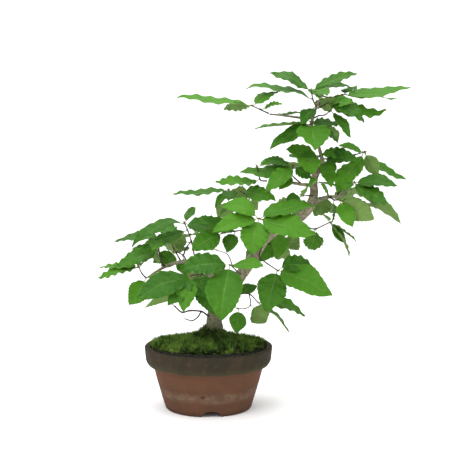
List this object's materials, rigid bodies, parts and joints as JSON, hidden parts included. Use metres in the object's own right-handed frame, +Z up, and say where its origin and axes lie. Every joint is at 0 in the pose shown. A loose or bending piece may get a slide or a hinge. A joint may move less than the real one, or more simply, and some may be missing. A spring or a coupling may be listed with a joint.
{
  "type": "bonsai tree in a pot",
  "caption": "Slanting broadleaf bonsai with toothed oval leaves, rooted in mossy soil in a round unglazed clay training pot with a thick collar.",
  "frame": {"origin": "middle of the object's footprint (the centre of its bounding box in X and Y) on the plane that the pot's foot stands on", "axes": "+Z up, -Y towards the tree's front, +X the side that the trunk slants to"},
  "size_m": [0.4386, 0.2366, 0.4731],
  "materials": {
    "terracotta": "unglazed, weathered",
    "mesh_plastic": "moulded mesh",
    "gravel": "rough",
    "clay_soil": "granular, damp",
    "moss": "living moss, matt",
    "bark": "living bark",
    "twig_bark": "young bark",
    "leaf": "living leaf, satin"
  },
  "bodies": {
    "root": {"pot": "terracotta", "drain_screen": "mesh_plastic", "drainage_gravel": "gravel", "soil": "clay_soil", "moss": "moss", "trunk": "bark", "limb_left": "bark", "limb_middle": "bark", "limb_upper_left": "bark", "limb_right": "bark", "limb_top_left": "bark", "bare_twigs": "twig_bark", "shoot_left_tip": "leaf", "shoot_left_outer": "leaf", "shoot_left_upper": "leaf", "shoot_left_inner": "leaf", "shoot_left_front": "leaf", "shoot_front_low": "leaf", "shoot_front_middle": "leaf", "shoot_front_upper": "leaf", "shoot_right_front": "leaf", "shoot_right_low": "leaf", "shoot_right_inner": "leaf", "shoot_right_lower": "leaf", "shoot_left_high": "leaf", "shoot_middle_low": "leaf", "shoot_middle_high": "leaf", "shoot_upper_inner": "leaf", "shoot_upper_front": "leaf", "shoot_right_upper": "leaf", "shoot_right_middle": "leaf", "shoot_right_high": "leaf", "shoot_left_crown_low": "leaf", "shoot_crown_low": "leaf", "shoot_top_left": "leaf", "shoot_crown_left": "leaf", "shoot_crown_right": "leaf", "shoot_crown_front": "leaf", "shoot_crown_drooping": "leaf", "shoot_rear_left": "leaf", "shoot_rear_low_left": "leaf", "shoot_rear_lower_right": "leaf", "shoot_rear_middle": "leaf", "shoot_rear_right": "leaf", "shoot_rear_right_high": "leaf", "shoot_rear_upper": "leaf", "shoot_rear_crown": "leaf", "shoot_rear_top": "leaf"}
  },
  "joints": []
}
